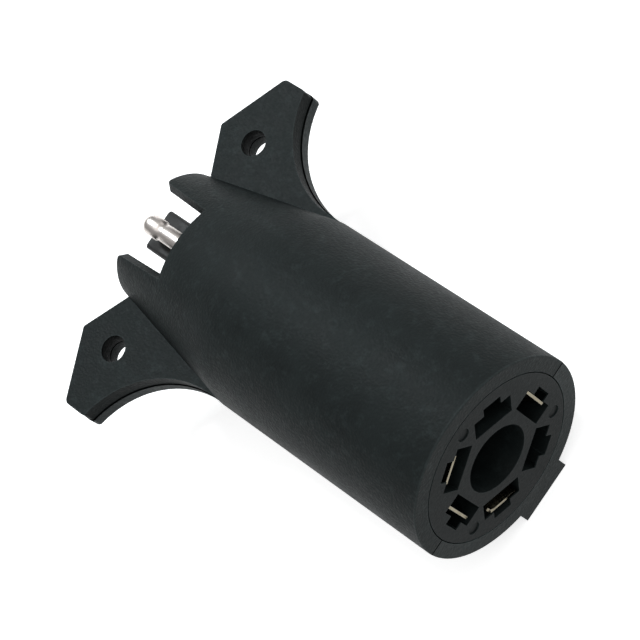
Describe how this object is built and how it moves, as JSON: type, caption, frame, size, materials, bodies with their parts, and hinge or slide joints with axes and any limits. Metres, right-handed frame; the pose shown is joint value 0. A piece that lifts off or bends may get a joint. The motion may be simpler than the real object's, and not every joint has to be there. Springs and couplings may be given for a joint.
{
  "type": "trailer wiring connector",
  "caption": "Round keyed blade plug that adapts to a flat bullet connector, in a two-piece barrel shell with drilled mounting wings and a notched rear shroud.",
  "frame": {"origin": "centre of the round seven-way face, at the mouth of its centre well", "axes": "+X out of the seven-way face, the way the plug is pushed in; +Z away from the key; the wings reach out along Y"},
  "size_m": [0.103, 0.0864, 0.0488],
  "materials": {
    "shell_plastic": "fine moulded grain",
    "insert_plastic": "smooth satin",
    "block_rubber": "matt",
    "brass": "stamped, lightly tarnished",
    "nickel": "bright nickel plate",
    "white_insulation": "smooth",
    "brown_insulation": "smooth",
    "yellow_insulation": "smooth",
    "green_insulation": "smooth"
  },
  "bodies": {
    "housing": {"upper_shell": "shell_plastic", "lower_shell": "shell_plastic", "seven_way_insert": "insert_plastic", "terminal_retainer": "insert_plastic", "tail_terminal": "brass", "ground_terminal": "brass", "right_terminal": "brass", "left_terminal": "brass", "four_flat_block": "block_rubber", "ground_pin": "nickel", "tail_socket": "brass", "left_socket": "brass", "right_socket": "brass", "ground_wire": "white_insulation", "tail_wire": "brown_insulation", "left_wire": "yellow_insulation", "right_wire": "green_insulation"},
    "tail_contact": {"tail_contact_leaf": "brass"},
    "ground_contact": {"ground_contact_leaf": "brass"},
    "right_contact": {"right_contact_leaf": "brass"},
    "left_contact": {"left_contact_leaf": "brass"}
  },
  "joints": [
    {"name": "tail_contact_flex", "type": "hinge", "parent": "housing", "child": "tail_contact", "pos_m": [-0.0145, 0.0137, 0], "axis": [0, 0, 1], "range_deg": [0, 4], "stiffness_Nm_per_rad": 0.6},
    {"name": "ground_contact_flex", "type": "hinge", "parent": "housing", "child": "ground_contact", "pos_m": [-0.0145, -0.00685, -0.01186], "axis": [0, 0.866, -0.5], "range_deg": [0, 4], "stiffness_Nm_per_rad": 0.6},
    {"name": "right_contact_flex", "type": "hinge", "parent": "housing", "child": "right_contact", "pos_m": [-0.0145, -0.0137, 0], "axis": [0, 0, -1], "range_deg": [0, 4], "stiffness_Nm_per_rad": 0.6},
    {"name": "left_contact_flex", "type": "hinge", "parent": "housing", "child": "left_contact", "pos_m": [-0.0145, -0.00685, 0.01186], "axis": [0, -0.866, -0.5], "range_deg": [0, 4], "stiffness_Nm_per_rad": 0.6}
  ]
}
